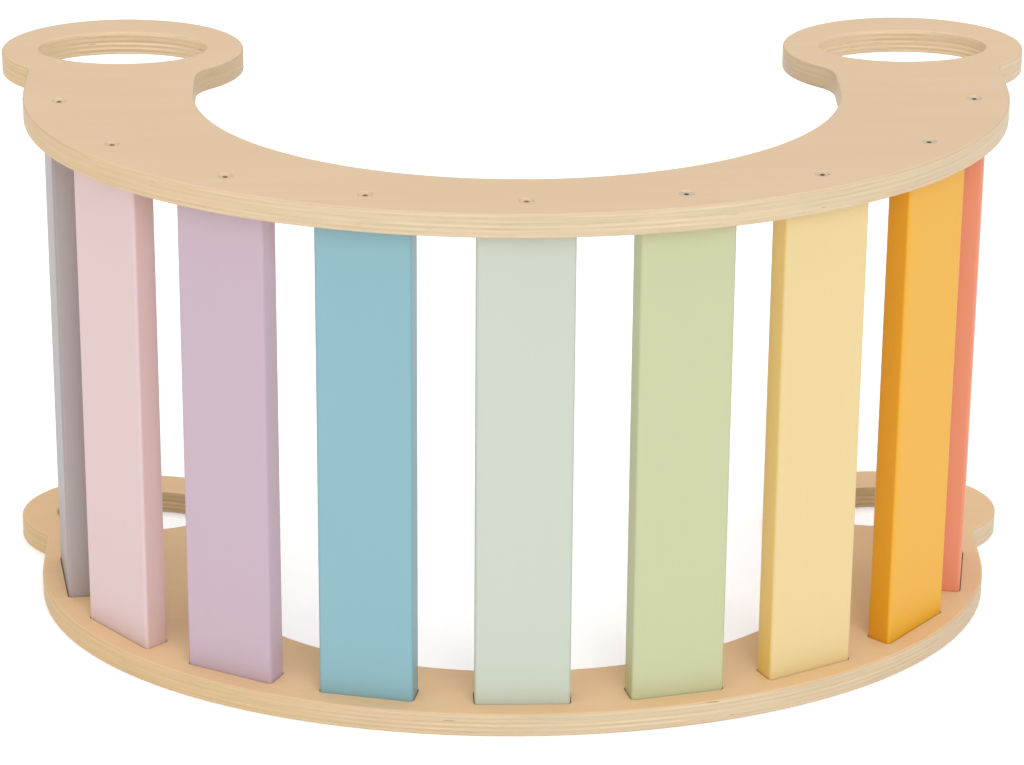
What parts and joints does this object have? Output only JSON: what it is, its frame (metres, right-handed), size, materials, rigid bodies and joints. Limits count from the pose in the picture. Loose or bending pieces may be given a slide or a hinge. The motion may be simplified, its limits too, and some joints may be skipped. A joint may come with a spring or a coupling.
{
  "type": "wooden rocker arch",
  "caption": "Oval wooden rocking arch: two plywood side boards with ring handles joined by painted slats, standing on one side board.",
  "frame": {"origin": "middle of the outline's box, on the outer face of the board that it stands on", "axes": "+X along the arch, -Y out of its rocking edge, +Z along the slats"},
  "size_m": [0.9, 0.475, 0.473],
  "materials": {
    "birch_plywood": "clear satin lacquer, plies showing on the edges",
    "grey_paint": "satin paint on wood",
    "pink_paint": "satin paint on wood",
    "lilac_paint": "satin paint on wood",
    "blue_paint": "satin paint on wood",
    "mint_paint": "satin paint on wood",
    "green_paint": "satin paint on wood",
    "yellow_paint": "satin paint on wood",
    "orange_paint": "satin paint on wood",
    "coral_paint": "satin paint on wood",
    "screw_steel": "zinc plated"
  },
  "bodies": {
    "root": {"lower_side_board": "birch_plywood", "upper_side_board": "birch_plywood", "grey_slat": "grey_paint", "pink_slat": "pink_paint", "lilac_slat": "lilac_paint", "blue_slat": "blue_paint", "mint_slat": "mint_paint", "green_slat": "green_paint", "yellow_slat": "yellow_paint", "orange_slat": "orange_paint", "coral_slat": "coral_paint", "upper_screw_1": "screw_steel", "upper_screw_2": "screw_steel", "upper_screw_3": "screw_steel", "upper_screw_4": "screw_steel", "upper_screw_5": "screw_steel", "upper_screw_6": "screw_steel", "upper_screw_7": "screw_steel", "upper_screw_8": "screw_steel", "upper_screw_9": "screw_steel", "lower_screw_1": "screw_steel", "lower_screw_2": "screw_steel", "lower_screw_3": "screw_steel", "lower_screw_4": "screw_steel", "lower_screw_5": "screw_steel", "lower_screw_6": "screw_steel", "lower_screw_7": "screw_steel", "lower_screw_8": "screw_steel", "lower_screw_9": "screw_steel"}
  },
  "joints": []
}
